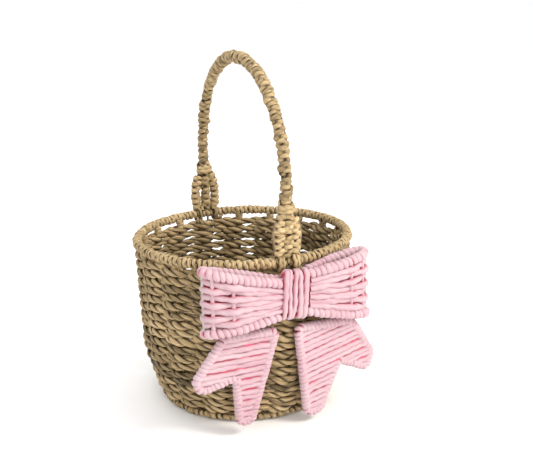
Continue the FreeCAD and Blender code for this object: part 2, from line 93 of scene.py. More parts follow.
class Strands:
    # collects swept strands and turns them into one mesh with the attributes that the materials read
    def __init__(self):
        self.verts, self.quads, self.uv, self.crest, self.tint = [], [], [], [], []
        self.count = 0

    def tube(self, points, across, up, width, height, closed, crest, tint, start=0.0, sides=8, shape=1.0):
        # a tube round the points; across and up span its section, width and height are its half sizes
        n = len(points)
        angles = np.linspace(0, 2 * np.pi, sides, endpoint=False)
        spread = np.broadcast_to(shape, (n, sides))[:, :, None]
        ring = points[:, None] + spread * (np.cos(angles)[None, :, None] * (across * width[:, None])[:, None]
                                           + np.sin(angles)[None, :, None] * (up * height[:, None])[:, None])
        step = np.linalg.norm(np.diff(points, axis=0), axis=1)
        along = start + np.r_[0, np.cumsum(step)]
        rows = n if closed else n - 1
        i = np.arange(rows)[:, None]
        k = np.arange(sides)[None, :]
        a = (i * sides + k).ravel()
        b = (i * sides + (k + 1) % sides).ravel()
        c = (((i + 1) % n) * sides + (k + 1) % sides).ravel()
        d = (((i + 1) % n) * sides + k).ravel()
        quads = np.stack([a, b, c, d], 1) + self.count
        u0 = np.repeat(along[:rows], sides)
        stepEnd = np.append(along[1:], along[-1] + (step[-1] if len(step) else 0))
        u1 = np.repeat(stepEnd[:rows], sides)
        v0 = np.tile(np.arange(sides) / sides, rows)
        v1 = v0 + 1 / sides
        uv = np.stack([np.stack(corner, 1) for corner in ((u0, v0), (u0, v1), (u1, v1), (u1, v0))], 1)
        self.verts.append(ring.reshape(-1, 3))
        self.quads.append(quads)
        self.uv.append(uv.reshape(-1, 2))
        self.crest.append(np.broadcast_to(crest, (n, sides)).ravel())
        self.tint.append(np.full(n * sides, tint))
        self.count += n * sides
        if not closed:
            self.cap(points[0], ring[0], along[0], crest[0], tint, True)
            self.cap(points[-1], ring[-1], along[-1], crest[-1], tint, False)

    def cap(self, centre, ring, along, crest, tint, first):
        sides = len(ring)
        base = self.count
        self.verts.append(np.vstack([centre[None], ring]))
        k = np.arange(sides)
        p, q = base + 1 + k, base + 1 + (k + 1) % sides
        tri = np.stack([np.full(sides, base), q, p] if first else [np.full(sides, base), p, q], 1)
        self.quads.append(np.column_stack([tri, np.full(sides, -1)]))
        self.uv.append(np.tile([[along, 0.5]], (sides * 4, 1)))
        self.crest.append(np.full(sides + 1, float(np.mean(crest))))
        self.tint.append(np.full(sides + 1, tint))
        self.count += sides + 1

    def cord(self, points, reference, radius, pitch, closed=False, flat=1.0, tint=0.0, rough=0.06, groove=0.07,
             sides=10):
        # one soft strand with a shallow twist; flat presses it against what it rests on
        points = np.asarray(points, float)
        n = len(points)
        t = tangents(points, closed)
        out = unit(reference - np.sum(reference * t, 1, keepdims=True) * t)
        side = np.cross(t, out)
        length = np.r_[0, np.cumsum(np.linalg.norm(np.diff(points, axis=0), axis=1))]
        total = length[-1] + (np.linalg.norm(points[0] - points[-1]) if closed else 0)
        turns = max(round(total / pitch), 1) if closed else total / pitch
        radius = np.broadcast_to(radius, (n,)) * (1 + wander(n, max(int(total / 0.008), 3), rough, closed))
        sector = np.linspace(0, 2 * np.pi, sides, endpoint=False)
        lobes = np.cos(2 * (sector[None] - 2 * np.pi * turns * length[:, None] / total) + rng.uniform(0, 6))
        lumps = np.stack([wander(n, max(int(total / 0.005), 3), rough * 0.6, closed) for _ in range(3)])
        shape = 1 + groove * lobes + lumps[0][:, None] * np.cos(sector) + lumps[1][:, None] * np.sin(sector)
        # painted shade mask: darker towards the side that faces what the strand rests on and in the twist grooves,
        # where the material paints crevice shade
        crest = 0.62 + 0.38 * np.cos(sector)[None] + 0.9 * groove * (lobes - 1)
        start = rng.uniform(0, 9)
        self.tube(points, out * flat, side / flat, radius, radius, closed, crest, tint, start, sides, shape)

    def rope(self, points, reference, radius, pitch, closed=False, flat=1.0, tint=0.0, rough=0.06):
        # two plies laid round each other; reference points away from what the rope rests on
        plies, sides, shift, fill = 2, 8, 0.8, 1.28
        points = np.asarray(points, float)
        n = len(points)
        t = tangents(points, closed)
        out = unit(reference - np.sum(reference * t, 1, keepdims=True) * t)
        side = np.cross(t, out)
        length = np.r_[0, np.cumsum(np.linalg.norm(np.diff(points, axis=0), axis=1))]
        total = length[-1] + (np.linalg.norm(points[0] - points[-1]) if closed else 0)
        turns = max(round(total / pitch), 1) if closed else total / pitch
        swell = 1 + wander(n, max(int(total / 0.012), 3), rough, closed)
        radius = np.broadcast_to(radius, (n,)) * swell
        phase = 2 * np.pi * turns * length / total + rng.uniform(0, 2 * np.pi)
        ply = radius * 0.5
        offset = ply * shift
        for k in range(plies):
            angle = phase + 2 * np.pi * k / plies
            lift, slide = np.cos(angle) * offset * flat, np.sin(angle) * offset / flat
            centre = points + out * lift[:, None] + side * slide[:, None]
            fat = ply * fill * (1 + wander(n, max(int(total / 0.006), 3), rough, closed))
            sector = np.linspace(0, 2 * np.pi, sides, endpoint=False)
            reach = np.hypot(np.cos(angle)[:, None] * offset[:, None] + np.cos(sector)[None] * fat[:, None],
                             np.sin(angle)[:, None] * offset[:, None] + np.sin(sector)[None] * fat[:, None])
            # painted shade mask: darker nearer the rope's middle, between the two plies
            crest = reach / (offset + fat)[:, None]
            self.tube(centre, out * flat, side / flat, fat, fat, closed, crest, tint + rng.normal(0, 0.12),
                      rng.uniform(0, 9), sides)

    def build(self, name, material, jitter=0.0):
        verts = np.vstack(self.verts)
        if jitter:
            verts = verts + rng.normal(0, jitter, verts.shape)
        quads = np.vstack(self.quads)
        triangle = quads[:, 3] < 0
        sizes = np.where(triangle, 3, 4)
        starts = np.r_[0, np.cumsum(sizes)[:-1]]
        keep = np.ones(quads.shape, bool)
        keep[triangle, 3] = False
        mesh = bpy.data.meshes.new(name)
        mesh.vertices.add(len(verts))
        mesh.vertices.foreach_set("co", verts.ravel())
        mesh.loops.add(int(sizes.sum()))
        mesh.loops.foreach_set("vertex_index", quads[keep].ravel())
        mesh.polygons.add(len(quads))
        mesh.polygons.foreach_set("loop_start", starts)
        mesh.polygons.foreach_set("use_smooth", np.ones(len(quads), bool))
        mesh.update(calc_edges=True)
        layer = mesh.uv_layers.new(name="strand")
        layer.data.foreach_set("uv", np.vstack(self.uv).reshape(-1, 4, 2)[keep].ravel())
        # the first attribute is a painted shade mask for the crevices; the second is a random tone per strand
        for key, values in (("crest", self.crest), ("tint", self.tint)):
            attribute = mesh.attributes.new(key, "FLOAT", "POINT")
            attribute.data.foreach_set("value", np.concatenate(values).astype(np.float32))
        mesh.validate()
        mesh.materials.append(material)
        piece = bpy.data.objects.new(name, mesh)
        bpy.context.scene.collection.objects.link(piece)
        return piece


def place(piece, slotName, *nodes):
    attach(piece, "root")
    if nodes:
        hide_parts(*nodes)
    return piece


def windRound(core, reference, closed, reach, turns, perTurn, uneven=0.0):
    # a rope's centre line wound round a core line; returns its points and the directions away from the core
    core = np.asarray(core, float)
    n = len(core)
    t = tangents(core, closed)
    out = unit(reference - np.sum(reference * t, 1, keepdims=True) * t)
    side = np.cross(t, out)
    count = int(turns * perTurn)
    at = np.linspace(0, n if closed else n - 1, count, endpoint=not closed)
    low = np.floor(at).astype(int) % n
    high = (low + 1) % n if closed else np.minimum(low + 1, n - 1)
    f = (at - np.floor(at))[:, None]
    centre = core[low] * (1 - f) + core[high] * f
    out = unit(out[low] * (1 - f) + out[high] * f)
    side = unit(side[low] * (1 - f) + side[high] * f)
    angle = 2 * np.pi * turns * np.arange(count) / count
    angle = angle + wander(count, max(int(turns / 2), 3), uneven, closed)
    away = out * np.cos(angle)[:, None] + side * np.sin(angle)[:, None]
    spread = reach * (1 + wander(count, max(int(turns), 3), uneven * 0.12, closed))
    return centre + away * spread[:, None], away


# Materials


def newGroup(name, inputs, outputs):
    group = bpy.data.node_groups.new(name, "ShaderNodeTree")
    for label, kind, value in inputs:
        socket = group.interface.new_socket(label, in_out="INPUT", socket_type=kind)
        if value is not None:
            socket.default_value = value
    for label, kind in outputs:
        group.interface.new_socket(label, in_out="OUTPUT", socket_type=kind)
    return group, group.nodes.new("NodeGroupInput"), group.nodes.new("NodeGroupOutput")


def link(tree, source, target):
    tree.links.new(source, target)


def mathNode(tree, operation, a, b=None, clamp=False):
    node = tree.nodes.new("ShaderNodeMath")
    node.operation = operation
    node.use_clamp = clamp
    for socket, value in zip(node.inputs, (a, b)):
        if value is None:
            continue
        if isinstance(value, (int, float)):
            socket.default_value = value
        else:
            link(tree, value, socket)
    return node.outputs[0]


def rampNode(tree, factor, stops):
    node = tree.nodes.new("ShaderNodeValToRGB")
    ramp = node.color_ramp
    while len(ramp.elements) < len(stops):
        ramp.elements.new(0.5)
    for element, (position, colour) in zip(ramp.elements, stops):
        element.position = position
        element.color = (*colour, 1)
    link(tree, factor, node.inputs["Fac"])
    return node.outputs["Color"]


def mixNode(tree, factor, a, b, mode="MIX"):
    node = tree.nodes.new("ShaderNodeMix")
    node.data_type = "RGBA"
    node.blend_type = mode
    for index, value in ((0, factor), (6, a), (7, b)):
        if isinstance(value, (int, float)):
            node.inputs[index].default_value = value
        elif isinstance(value, tuple):
            node.inputs[index].default_value = (*value, 1)
        else:
            link(tree, value, node.inputs[index])
    return node.outputs[2]


def fibreGroup():
    # long fibres that run with the strand, seamless round it
    group, given, out = newGroup("strandFibres", [
        ("Along", "NodeSocketFloat", 60.0), ("Round", "NodeSocketFloat", 3.0), ("Detail", "NodeSocketFloat", 4.0),
    ], [("Streak", "NodeSocketFloat"), ("Patch", "NodeSocketFloat")])
    uv = group.nodes.new("ShaderNodeUVMap")
    uv.uv_map = "strand"
    parts = group.nodes.new("ShaderNodeSeparateXYZ")
    link(group, uv.outputs[0], parts.inputs[0])
    turn = mathNode(group, "MULTIPLY", parts.outputs[1], 2 * math.pi)
    tint = group.nodes.new("ShaderNodeAttribute")
    tint.attribute_name = "tint"
    shift = mathNode(group, "MULTIPLY", tint.outputs["Fac"], 37.0)
    for label, stretch, roundness, detail in (("Streak", 1.0, 1.0, True), ("Patch", 0.45, 0.25, False)):
        place3 = group.nodes.new("ShaderNodeCombineXYZ")
        along = mathNode(group, "MULTIPLY", parts.outputs[0], given.outputs["Along"])
        link(group, mathNode(group, "ADD", mathNode(group, "MULTIPLY", along, stretch), shift), place3.inputs[0])
        for index, wave in ((1, "COSINE"), (2, "SINE")):
            ring = mathNode(group, "MULTIPLY", mathNode(group, wave, turn), given.outputs["Round"])
            link(group, mathNode(group, "MULTIPLY", ring, roundness), place3.inputs[index])
        noise = group.nodes.new("ShaderNodeTexNoise")
        noise.inputs["Scale"].default_value = 1.0
        noise.inputs["Roughness"].default_value = 0.62
        link(group, place3.outputs[0], noise.inputs["Vector"])
        if detail:
            link(group, given.outputs["Detail"], noise.inputs["Detail"])
        link(group, noise.outputs["Fac"], out.inputs[label])
    return group


def ageGroup():
    # slow change of tone over the whole object
    group, given, out = newGroup("toneDrift", [("Scale", "NodeSocketFloat", 14.0)], [("Drift", "NodeSocketFloat")])
    where = group.nodes.new("ShaderNodeTexCoord")
    noise = group.nodes.new("ShaderNodeTexNoise")
    noise.inputs["Detail"].default_value = 3.0
    link(group, where.outputs["Object"], noise.inputs["Vector"])
    link(group, given.outputs["Scale"], noise.inputs["Scale"])
    link(group, noise.outputs["Fac"], out.inputs["Drift"])
    return group


fibres = fibreGroup()
drift = ageGroup()


def strandMaterial(name, look):
    material = bpy.data.materials.new(name)
    material.use_nodes = True
    tree = material.node_tree
    shader = tree.nodes["Principled BSDF"]
    fibre = tree.nodes.new("ShaderNodeGroup")
    fibre.node_tree = fibres
    fibre.inputs["Along"].default_value = look["along"]
    fibre.inputs["Round"].default_value = look["round"]
    fibre.inputs["Detail"].default_value = look["detail"]
    slow = tree.nodes.new("ShaderNodeGroup")
    slow.node_tree = drift
    slow.inputs["Scale"].default_value = look["driftScale"]
    crest = tree.nodes.new("ShaderNodeAttribute")
    crest.attribute_name = "crest"
    tint = tree.nodes.new("ShaderNodeAttribute")
    tint.attribute_name = "tint"
    tone = mathNode(tree, "MULTIPLY_ADD", fibre.outputs["Patch"], look["patchWeight"])
    tone.node.inputs[2].default_value = look["toneStart"]
    tone = mathNode(tree, "ADD", tone, mathNode(tree, "MULTIPLY", slow.outputs["Drift"], look["driftWeight"]))
    tinted = mathNode(tree, "MULTIPLY", tint.outputs["Fac"], look["tintWeight"])
    tone = mathNode(tree, "ADD", tone, tinted, clamp=True)
    body = rampNode(tree, tone, look["tones"])
    streak = rampNode(tree, fibre.outputs["Streak"], look["streaks"])
    body = mixNode(tree, look["streakWeight"], body, streak, "MULTIPLY")
    # painted shade: the shade mask, broken up a little by the patch noise, blends the base colour towards a dark
    # shade colour in grooves and between strands (dark brown on seagrass, saturated pink on paper cord)
    uneven = mathNode(tree, "MULTIPLY", fibre.outputs["Patch"], look["creviceShadeNoise"])
    depth = rampNode(tree, mathNode(tree, "SUBTRACT", crest.outputs["Fac"], uneven), look["creviceShadeRamp"])
    body = mixNode(tree, depth, look["creviceShadeColour"], body)
    link(tree, body, shader.inputs["Base Color"])
    rough = mathNode(tree, "MULTIPLY_ADD", fibre.outputs["Streak"], look["roughRange"])
    rough.node.inputs[2].default_value = look["roughness"]
    link(tree, rough, shader.inputs["Roughness"])
    bump = tree.nodes.new("ShaderNodeBump")
    bump.inputs["Strength"].default_value = look["bump"]
    bump.inputs["Distance"].default_value = look["bumpDepth"]
    link(tree, fibre.outputs["Streak"], bump.inputs["Height"])
    link(tree, bump.outputs[0], shader.inputs["Normal"])
    shader.inputs["Specular IOR Level"].default_value = look["specular"]
    return material


seagrassLook = {
    "along": 42.0, "round": 4.2, "detail": 5.0, "driftScale": 11.0,
    "patchWeight": 1.1, "driftWeight": 0.6, "tintWeight": 0.42, "toneStart": -0.33,
    "tones": [(0.15, (0.11, 0.08, 0.036)), (0.36, (0.26, 0.187, 0.092)), (0.56, (0.44, 0.32, 0.165)),
              (0.8, (0.62, 0.47, 0.265)), (1.0, (0.46, 0.25, 0.095))],
    "streaks": [(0.36, (0.30, 0.24, 0.15)), (0.47, (0.82, 0.79, 0.72)), (0.6, (1.0, 1.0, 1.0))],
    "streakWeight": 0.85,
    # painted shade in the crevices: a mask ramp and a dark brown shade colour
    "creviceShadeNoise": 0.12, "creviceShadeRamp": [(0.46, (0, 0, 0)), (0.74, (1, 1, 1))], "creviceShadeColour": (0.05, 0.03, 0.014),
    "roughness": 0.5, "roughRange": 0.3, "bump": 0.7, "bumpDepth": 0.0006, "specular": 0.35,
}
paperLook = {
    "along": 34.0, "round": 2.2, "detail": 3.0, "driftScale": 16.0,
    "patchWeight": 0.5, "driftWeight": 0.3, "tintWeight": 0.2, "toneStart": 0.1,
    "tones": [(0.25, (0.46, 0.235, 0.28)), (0.45, (0.51, 0.35, 0.38)), (0.65, (0.535, 0.41, 0.435)),
              (1.0, (0.58, 0.49, 0.51))],
    "streaks": [(0.3, (0.9, 0.72, 0.76)), (0.5, (1.0, 0.97, 0.98)), (0.7, (1.0, 1.0, 1.0))],
    "streakWeight": 0.8,
    # painted shade in the crevices, tinted saturated pink
    "creviceShadeNoise": 0.1, "creviceShadeRamp": [(0.4, (0, 0, 0)), (0.76, (1, 1, 1))], "creviceShadeColour": (0.58, 0.095, 0.155),
    "roughness": 0.55, "roughRange": 0.25, "bump": 0.45, "bumpDepth": 0.0005, "specular": 0.3,
}
seagrass = strandMaterial("seagrass", seagrassLook)
paperCord = strandMaterial("paperCord", paperLook)
print("materials ready")

# Woven wall and base

weave = {
    "ribs": 18, "firstRib": math.pi / 2, "rope": 2.8 * mm, "standOff": 4.05 * mm, "rise": 1.3 * mm,
    "body": 3.35 * mm, "twist": 25 * mm, "step": 1.8 * mm, "sag": 0.45 * mm, "dip": 2.1 * mm,
    "dipWidth": 8 * mm, "dipAt": -math.pi / 2, "flat": 0.88, "rough": 0.1, "fray": 0.08 * mm, "slack": 0.5 * mm,
}


def twinedRow(label, node):
    low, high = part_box(node)
    slope = min(max((high.z - low.z - 2 * weave["rope"]) / (2 * weave["standOff"]), 0), 1)
    level = math.sqrt(1 - slope * slope)
    radius = high.y - (weave["rope"] + weave["standOff"] * level)
    height = (high.z + low.z) / 2
    row = Strands()
    count = int(2 * math.pi * radius / weave["step"])
    around = np.linspace(0, 2 * np.pi, count, endpoint=False)
    radial = np.stack([np.cos(around), np.sin(around), np.zeros(count)], 1)
    outward = radial * level - np.array([0, 0, slope])
    upward = radial * slope + np.array([0, 0, level])
    rowTint = rng.normal(0, 0.2)
    lean = wander(count, 9, weave["sag"], True)
    fromDip = (np.mod(around - weave["dipAt"] + np.pi, 2 * np.pi) - np.pi) * radius
    lean = lean - weave["dip"] * np.exp(-(fromDip / weave["dipWidth"]) ** 2) * (level > 0.5)
    for k in range(2):
        phase = (around - weave["firstRib"]) * weave["ribs"] / 2 + k * np.pi
        inOut = np.cos(phase)
        inOut = np.sign(inOut) * np.abs(inOut) ** 0.75 * (weave["standOff"] - weave["slack"])
        drop = weave["rise"] * np.sin(phase) + lean + wander(count, 60, 0.3 * mm, True)
        points = radial * radius + outward * inOut[:, None] + upward * drop[:, None] + np.array([0, 0, height])
        swell = weave["body"] * (0.9 + 0.14 * np.abs(np.cos(phase)))
        row.rope(points, outward, swell, weave["twist"] * rng.uniform(0.9, 1.12), True, flat=weave["flat"],
                 tint=rowTint + rng.normal(0, 0.1), rough=weave["rough"])
    place(row.build(label, seagrass, weave["fray"]), "seagrass", node)


for i in range(17):
    twinedRow(f"wallRow{i + 1:02d}", f"wall_row_{i + 1:02d}")
for i in range(7):
    twinedRow(f"baseRow{i + 1:02d}", f"base_row_{i + 1:02d}")
print("woven rows ready")


coils = {"rope": 2.6 * mm, "inner": 2.0 * mm, "start": 0.8, "turns": 3.1, "points": 150, "twist": 17 * mm}


def centreCoils():
    low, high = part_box("base_centre_coil")
    coil = Strands()
    rope, inner, count = coils["rope"], coils["inner"], coils["points"]
    for height, turn in ((low.z + rope, 1), (high.z - rope, -1)):
        angle = np.linspace(coils["start"], 2 * np.pi * coils["turns"], count)
        radius = inner + (high.x - rope - inner) * angle / angle[-1]
        points = np.stack([radius * np.cos(angle * turn), radius * np.sin(angle * turn), np.full(count, height)], 1)
        coil.rope(points, np.tile([0, 0, 1.0], (count, 1)), rope, coils["twist"], tint=rng.normal(0, 0.2))
    place(coil.build("baseCentreCoil", seagrass, 0.05 * mm), "seagrass", "base_centre_coil")


centreCoils()

# Wound rim, foot and handle


def ring(radius, height, count):
    around = np.linspace(0, 2 * np.pi, count, endpoint=False)
    radial = np.stack([np.cos(around), np.sin(around), np.zeros(count)], 1)
    return radial * radius + np.array([0, 0, height]), radial


def woundRing(label, node, look):
    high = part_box(node)[1]
    half = look["half"]
    core, radial = ring(high.x - half, high.z - half, 360)
    turns = round(2 * math.pi * (high.x - half) / look["pitch"])
    reach = half - look["rope"] * look["flat"] - look["inset"]
    points, away = windRound(core, radial, True, reach, turns, 16, look["uneven"])
    wound = Strands()
    wound.cord(points, away, look["rope"], look["twist"], True, flat=look["flat"], rough=look["rough"],
               groove=look["groove"], tint=look["tint"])
    place(wound.build(label, seagrass, 0.1 * mm), "seagrass", node)


rimLook = {
    "half": 4.75 * mm, "pitch": 5.0 * mm, "rope": 2.05 * mm, "twist": 11 * mm, "flat": 0.84, "inset": 0.0,
    "uneven": 0.3, "rough": 0.13, "groove": 0.14, "tint": 0.25,
}
footLook = {
    "half": 4.5 * mm, "pitch": 6.4 * mm, "rope": 2.45 * mm, "twist": 12 * mm, "flat": 0.8, "inset": 1.75 * mm,
    "uneven": 0.2, "rough": 0.13, "groove": 0.13, "tint": 0.3,
}
woundRing("rimWinding", "rim_wrap", rimLook)
woundRing("footWinding", "foot_wrap", footLook)

binding = {"rope": 2.0 * mm, "twist": 9 * mm, "reach": 2.6 * mm, "turns": 2.6, "flat": 0.75, "wallLean": 10,
           "below": 3.5 * mm, "above": 2.5 * mm, "proud": 0.6 * mm, "points": 12}


def ribBindings():
    # rope turns on each rib between the last row and the rim
    low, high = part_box("rib_bindings")
    bind = Strands()
    for i in range(weave["ribs"]):
        angle = weave["firstRib"] + 2 * math.pi * i / weave["ribs"]
        if abs(math.cos(angle)) < 0.01:
            continue
        direction = np.array([math.cos(angle), math.sin(angle), 0])
        base = direction * (high.y / math.cos(math.radians(binding["wallLean"])) + binding["proud"])
        climb = np.linspace(low.z - binding["below"], high.z + binding["above"], binding["points"])
        core = base + climb[:, None] * np.array([0, 0, 1.0])
        points, away = windRound(core, np.tile(direction, (len(climb), 1)), False, binding["reach"], binding["turns"],
                                 14, 0.3)
        bind.cord(points, away, binding["rope"], binding["twist"], flat=binding["flat"], tint=rng.normal(0, 0.2),
                  groove=0.12, rough=0.12)
    place(bind.build("ribBindings", seagrass, 0.08 * mm), "seagrass", "rib_bindings")


ribBindings()
print("rim and foot ready")

handle = {
    "half": 5.6 * mm, "turn": 13.5 * mm, "starts": (1.0, -1.0), "rope": 2.8 * mm, "flat": 0.82, "twist": 12 * mm,
    "step": 2 * mm, "uneven": 0.35, "rough": 0.15, "groove": 0.17, "tint": 0.05,
}
handleLow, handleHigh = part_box("handle_wrap")
handleRadius = handleHigh.y - handle["half"]
archHeight = handleHigh.z - handle["half"] - handleRadius


def archCore(step):
    leg = np.arange(handleLow.z, archHeight, step)
    bend = np.arange(0, np.pi, step / handleRadius)
    front = np.stack([0 * leg, 0 * leg - handleRadius, leg], 1)
    top = np.stack([0 * bend, -handleRadius * np.cos(bend), archHeight + handleRadius * np.sin(bend)], 1)
    back = np.stack([0 * leg, 0 * leg + handleRadius, leg[::-1]], 1)
    return np.vstack([front, top, back])


def handleWinding():
    core = archCore(handle["step"])
    length = np.linalg.norm(np.diff(core, axis=0), axis=1).sum()
    reach = handle["half"] - handle["rope"] * handle["flat"]
    wound = Strands()
    for start in handle["starts"]:
        sideways = np.tile([start, 0, 0], (len(core), 1))
        points, away = windRound(core, sideways, False, reach, length / handle["turn"], 22, handle["uneven"])
        wound.cord(points, away, handle["rope"], handle["twist"], flat=handle["flat"], rough=handle["rough"],
                   groove=handle["groove"], tint=handle["tint"] + rng.normal(0, 0.1), sides=12)
    place(wound.build("handleWinding", seagrass, 0.12 * mm), "seagrass", "handle_wrap")


handleWinding()

foot = {
    "leg": [(7.0, 203.0), (10.0, 197.0), (12.6, 189.0), (12.8, 180.0), (12.0, 172.0), (11.0, 166.0)],
    "legHalf": 5.2 * mm, "legRope": 2.9 * mm, "legTurn": 6.4 * mm, "legFlat": 0.85,
    "legStep": 1.5 * mm, "legTwist": 12 * mm, "tint": 0.3,
    "narrow": {"front": 0.64, "back": 0.88},  # share of each leg's distance from the middle strand
    "knotReach": 6.1 * mm, "knotRope": 2.6 * mm, "knotTurns": 2.5, "knotEnd": 1.5 * mm,
    "lashReach": 6.7 * mm, "lashRope": 2.0 * mm, "lashSide": 10.0 * mm, "lashSlant": 2.2 * mm, "lashPoints": 64,
    "loopHalf": 14 * mm, "loopDrop": 8.5 * mm, "loopRope": 2.6 * mm, "loopInside": 7.2 * mm, "loopPoints": 40,
}


def handleFoot(side, sign):
    legs, knot, lash = Strands(), Strands(), Strands()
    y = sign * handleRadius
    for hand in (-1, 1):
        line = [(hand * x * foot["narrow"][side] * mm, y, z * mm) for x, z in foot["leg"]]
        core = resample(smooth(line, 1), foot["legStep"])
        turns = (len(core) * foot["legStep"]) / foot["legTurn"]
        points, away = windRound(core, np.tile([0, float(sign), 0], (len(core), 1)), False,
                                 foot["legHalf"] - foot["legRope"] * foot["legFlat"], turns, 16, 0.3)
        legs.cord(points, away, foot["legRope"], foot["legTwist"], flat=foot["legFlat"], rough=0.14, groove=0.15,
                  tint=foot["tint"] + rng.normal(0, 0.1))
    place(legs.build(f"handleFootLegs_{side}", seagrass, 0.1 * mm), "seagrass", f"handle_foot_wraps_{side}")
    low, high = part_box(f"handle_knot_{side}")
    core = np.array([[0, y, z] for z in np.linspace(low.z + foot["knotEnd"], high.z - foot["knotEnd"], 14)])
    sideways = np.tile([1.0, 0, 0], (len(core), 1))
    points, away = windRound(core, sideways, False, foot["knotReach"], foot["knotTurns"], 30, 0.5)
    knot.cord(points, away, foot["knotRope"], 12 * mm, flat=0.85, rough=0.16, groove=0.14, tint=foot["tint"])
    place(knot.build(f"handleKnot_{side}", seagrass, 0.1 * mm), "seagrass", f"handle_knot_{side}")
    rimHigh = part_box("rim_wrap")[1]
    rimRadius, rimHeight = rimHigh.x - rimLook["half"], rimHigh.z - rimLook["half"]
    for hand in (-1, 1):
        angle = math.asin(hand * foot["lashSide"] * foot["narrow"][side] / rimRadius)
        centre = np.array([rimRadius * math.sin(angle), sign * rimRadius * math.cos(angle), rimHeight])
        radial = np.array([math.sin(angle), sign * math.cos(angle), 0])
        slant = np.array([hand * math.cos(angle), 0, 0])
        turn = np.linspace(-0.3 * np.pi, 2.9 * np.pi, foot["lashPoints"])
        shiftAlong = np.linspace(-foot["lashSlant"], foot["lashSlant"], foot["lashPoints"])
        swing = np.sin(turn)[:, None] * radial + np.cos(turn)[:, None] * np.array([0, 0, 1.0])
        points = centre + foot["lashReach"] * swing + slant * shiftAlong[:, None]
        tint = rng.normal(0.1, 0.15)
        lash.cord(points, points - centre, foot["lashRope"], 11 * mm, rough=0.12, tint=tint, groove=0.13)
    # the loose end hangs as a loop under the rim, inside the basket
    swing = np.linspace(0, np.pi, foot["loopPoints"])
    loop = np.stack([-foot["loopHalf"] * np.cos(swing), 0 * swing + sign * (rimRadius - foot["loopInside"]),
                     rimHeight - 2 * mm - foot["loopDrop"] * np.sin(swing)], 1)
    lash.rope(loop, np.tile([0, -float(sign), 0], (len(loop), 1)), foot["loopRope"], 13 * mm, rough=0.1)
    place(lash.build(f"handleLashing_{side}", seagrass, 0.08 * mm), "seagrass", f"handle_lashings_{side}")


handleFoot("front", -1)
handleFoot("back", 1)
print("handle ready")

# Bow loops; the plan is a hairpin, and each edge has its own height and reach

bow = {
    "tilt": 3.8, "height": 135.2, "start": 13.4, "end": 79.0,
    "hairpin": [(13.4, -121.4), (28, -123.0), (45, -124.0), (60, -122.0), (70, -118.4), (76, -113.6), (78, -109.5),
                (76, -105.8), (70, -103.8), (60, -103.2), (45, -103.9), (34, -106.4), (25, -109.2), (13.4, -111.8)],
    "edges": {"left": {"top": (11.0, 24.0, 85.5), "bottom": (-18.5, -32.0, 82.0)},
              "right": {"top": (18.0, 31.0, 75.0), "bottom": (-17.0, -28.0, 80.0)}},
    "border": 4.7 * mm, "borderCord": 2.5 * mm, "borderTurn": 5.3 * mm, "borderFlat": 0.84,
    "cord": 3.0 * mm, "strands": 7, "stakes": [35, 57, 73], "over": [1.3, 2.1, 2.1], "step": 1.2 * mm,
    "overWidth": 5.0, "ripple": 0.9, "tuck": 0.6 * mm, "points": 130, "post": 2.0 * mm, "postPoints": 24,
    "twist": {"border": 16 * mm, "cord": 20 * mm, "post": 16 * mm},
}
bowTurn = np.array(Matrix.Translation((0, 0, bow["height"] * mm))
                   @ Matrix.Rotation(math.radians(bow["tilt"]), 4, "Y"))


def tilted(points, turn=bowTurn):
    return np.asarray(points) @ turn[:3, :3].T + turn[:3, 3]


def turned(directions, turn=bowTurn):
    return np.asarray(directions) @ turn[:3, :3].T


def edgePath(hand, edge):
    start, tip, reach = edge
    points = []
    for x, y in bow["hairpin"]:
        share = (x - bow["start"]) / (bow["end"] - bow["start"])
        across = hand * (bow["start"] + share * (reach - bow["start"]))
        points.append((across * mm, y * mm, (start + share * (tip - start)) * mm))
    return resample(smooth(points, 1), bow["step"] / 4)


def evenly(path, count):
    return path[np.linspace(0, len(path) - 1, count).astype(int)]


